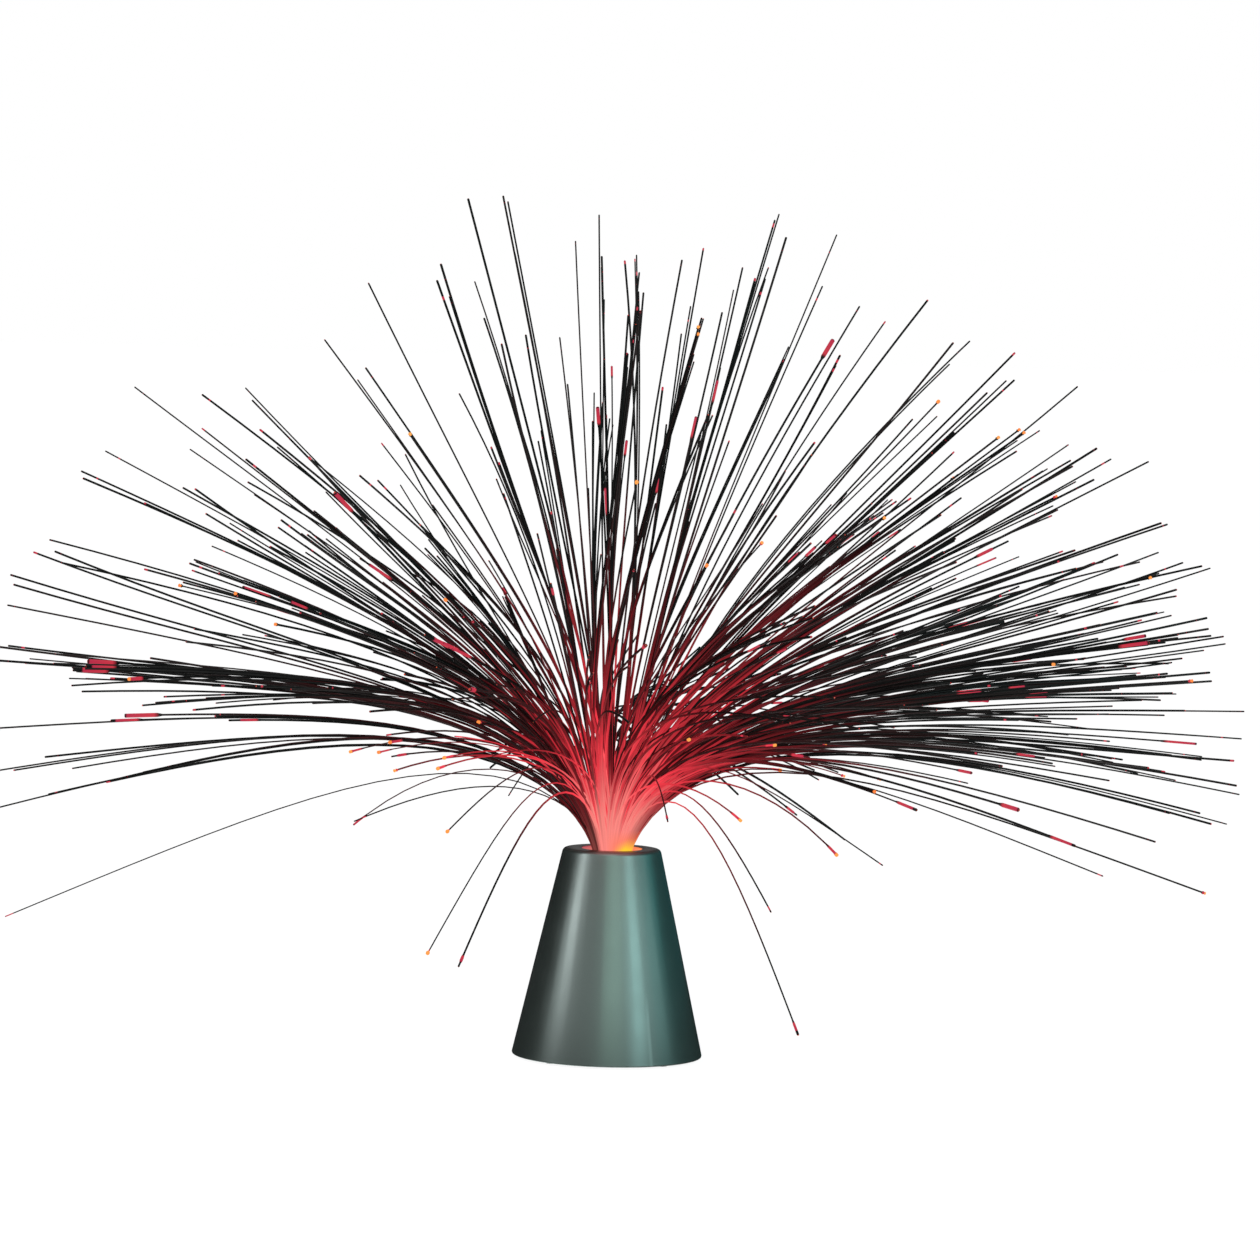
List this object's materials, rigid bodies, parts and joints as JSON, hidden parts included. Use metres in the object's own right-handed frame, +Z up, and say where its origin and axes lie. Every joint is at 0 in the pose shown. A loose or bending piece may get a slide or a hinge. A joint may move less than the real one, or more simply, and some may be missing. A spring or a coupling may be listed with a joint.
{
  "type": "fiber optic lamp",
  "caption": "Battery table lamp: a tapered round base with the light inside and a wide spray of thin light-guiding fibres fanning out of its top.",
  "frame": {"origin": "on the floor under the middle of the base, at the middle of the spray's plan", "axes": "+Z up, -Y the front that the picture shows, +X to its right"},
  "size_m": [0.5089, 0.4964, 0.3417],
  "materials": {
    "satin_silver": "satin metallic silver-grey paint",
    "dark_plastic": "fine matte",
    "black_rubber": "matte",
    "zinc_steel": "zinc plated",
    "nickel_contact": "nickel plated",
    "cell_jacket": "plain printed film over the can",
    "white_plastic": "smooth",
    "board_green": "solder mask",
    "clear_epoxy": "clear",
    "frosted_red": "frosted, lit from below",
    "wire_red": "insulated wire",
    "fibre_black": "clear fibre that shows dark along its sides and lit at its root and tip"
  },
  "bodies": {
    "lamp": {"base_plate": "dark_plastic", "base_screw_1": "zinc_steel", "base_screw_2": "zinc_steel", "base_screw_3": "zinc_steel", "base_shell": "satin_silver", "battery_cell_1": "cell_jacket", "battery_cell_2": "cell_jacket", "battery_cell_3": "cell_jacket", "battery_spring_1": "nickel_contact", "battery_spring_2": "nickel_contact", "battery_spring_3": "nickel_contact", "board_screw_1": "zinc_steel", "board_screw_2": "zinc_steel", "contact_bridge_left": "nickel_contact", "contact_bridge_right": "nickel_contact", "contact_negative": "nickel_contact", "contact_positive": "nickel_contact", "driver_chip": "dark_plastic", "fibre_bunch_centre": "fibre_black", "fibre_bunch_inner_01": "fibre_black", "fibre_bunch_inner_02": "fibre_black", "fibre_bunch_inner_03": "fibre_black", "fibre_bunch_inner_04": "fibre_black", "fibre_bunch_inner_05": "fibre_black", "fibre_bunch_inner_06": "fibre_black", "fibre_bunch_outer_01": "fibre_black", "fibre_bunch_outer_02": "fibre_black", "fibre_bunch_outer_03": "fibre_black", "fibre_bunch_outer_04": "fibre_black", "fibre_bunch_outer_05": "fibre_black", "fibre_bunch_outer_06": "fibre_black", "fibre_bunch_outer_07": "fibre_black", "fibre_bunch_outer_08": "fibre_black", "fibre_bunch_outer_09": "fibre_black", "fibre_bunch_outer_10": "fibre_black", "fibre_bunch_outer_11": "fibre_black", "fibre_bunch_outer_12": "fibre_black", "fibre_ferrule": "dark_plastic", "foot_1": "black_rubber", "foot_2": "black_rubber", "foot_3": "black_rubber", "foot_4": "black_rubber", "glow_collar": "frosted_red", "holder_screw_1": "zinc_steel", "holder_screw_2": "zinc_steel", "lead_battery_to_board": "wire_red", "lead_battery_to_switch": "wire_red", "lead_switch_to_board": "wire_red", "led_1": "clear_epoxy", "led_2": "clear_epoxy", "led_3": "clear_epoxy", "led_board": "board_green", "light_holder": "white_plastic", "switch_body": "zinc_steel", "switch_screw_left": "zinc_steel", "switch_screw_right": "zinc_steel"},
    "slider": {"switch_slider": "white_plastic"},
    "door": {"battery_door": "dark_plastic", "battery_door_screw": "zinc_steel"}
  },
  "joints": [
    {"name": "power_switch", "type": "slide", "parent": "lamp", "child": "slider", "axis": [1, 0, 0], "range_m": [0, 0.003]},
    {"name": "battery_door", "type": "hinge", "parent": "lamp", "child": "door", "pos_m": [-0.0287, 0, 0.0021], "axis": [0, 1, 0], "range_deg": [0, 75]}
  ]
}
